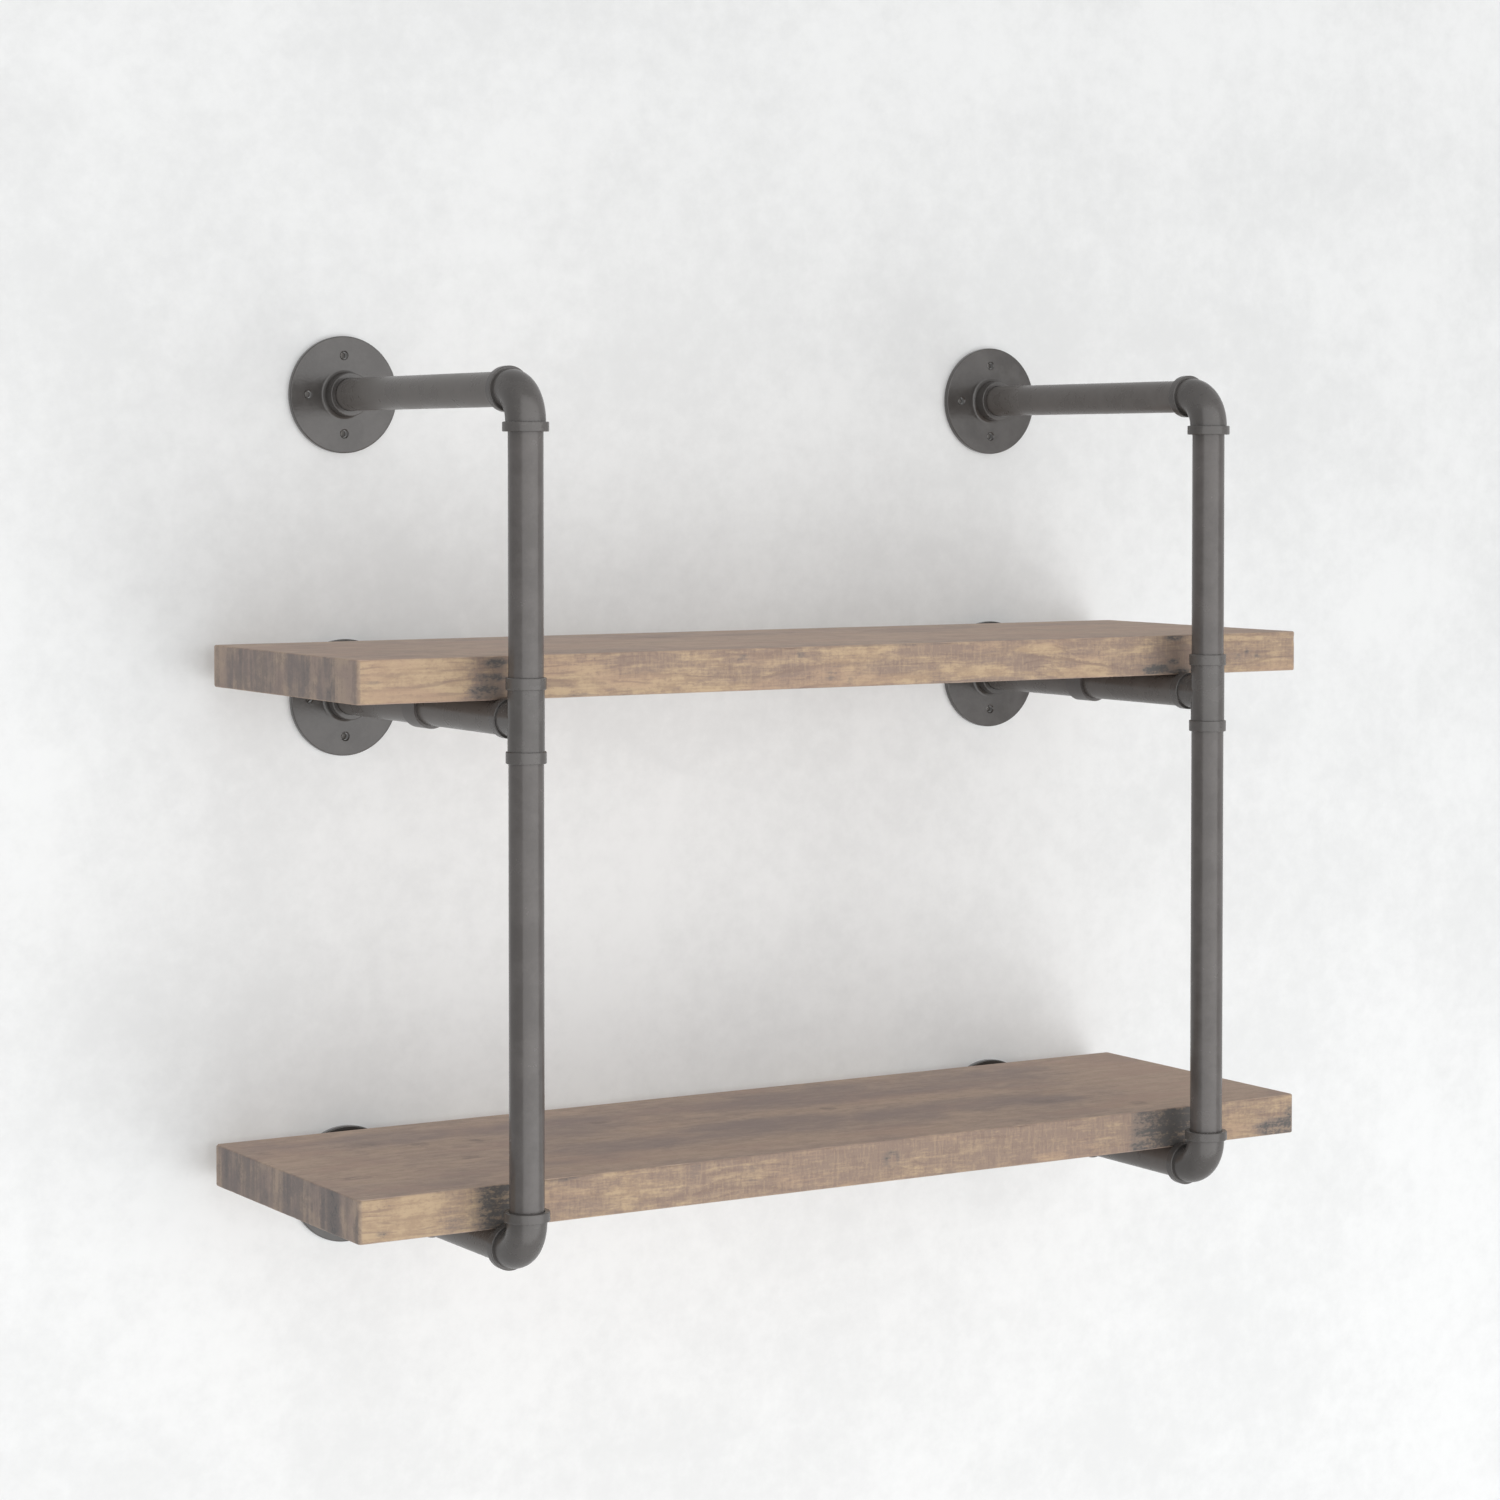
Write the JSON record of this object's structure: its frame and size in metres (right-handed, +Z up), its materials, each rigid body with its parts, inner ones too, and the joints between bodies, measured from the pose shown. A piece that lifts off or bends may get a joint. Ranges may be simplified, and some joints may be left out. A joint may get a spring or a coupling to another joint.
{
  "type": "pipe shelving unit",
  "caption": "Wall-hung shelf of rustic wood boards on a left and a right frame of black threaded pipe, with round wall flanges, elbows, tees and U straps.",
  "frame": {"origin": "on the wall's face, at the middle of the four outermost wall-screw holes: midway between the left and right frames and midway between the top and bottom arms", "axes": "+X along the wall to the right as seen from the room, +Y into the wall, +Z up"},
  "size_m": [0.898, 0.3407, 0.7506],
  "materials": {
    "board": "rustic stained plank, satin",
    "pipe": "satin dark grey coating on steel pipe",
    "fitting": "satin dark grey coating over cast surface",
    "strap": "satin dark grey coating",
    "screw": "black phosphated steel"
  },
  "bodies": {
    "root": {"left_top_flange": "fitting", "left_top_arm": "pipe", "left_middle_flange": "fitting", "left_middle_arm": "pipe", "left_bottom_flange": "fitting", "left_bottom_arm": "pipe", "left_top_elbow": "fitting", "left_tee": "fitting", "left_bottom_elbow": "fitting", "left_upper_riser": "pipe", "left_lower_riser": "pipe", "left_upper_strap": "strap", "left_upper_strap_screws": "screw", "left_lower_strap": "strap", "left_lower_strap_screws": "screw", "right_top_flange": "fitting", "right_top_arm": "pipe", "right_middle_flange": "fitting", "right_middle_arm": "pipe", "right_bottom_flange": "fitting", "right_bottom_arm": "pipe", "right_top_elbow": "fitting", "right_tee": "fitting", "right_bottom_elbow": "fitting", "right_upper_riser": "pipe", "right_lower_riser": "pipe", "right_upper_strap": "strap", "right_upper_strap_screws": "screw", "right_lower_strap": "strap", "right_lower_strap_screws": "screw", "upper_board": "board", "lower_board": "board"}
  },
  "joints": []
}
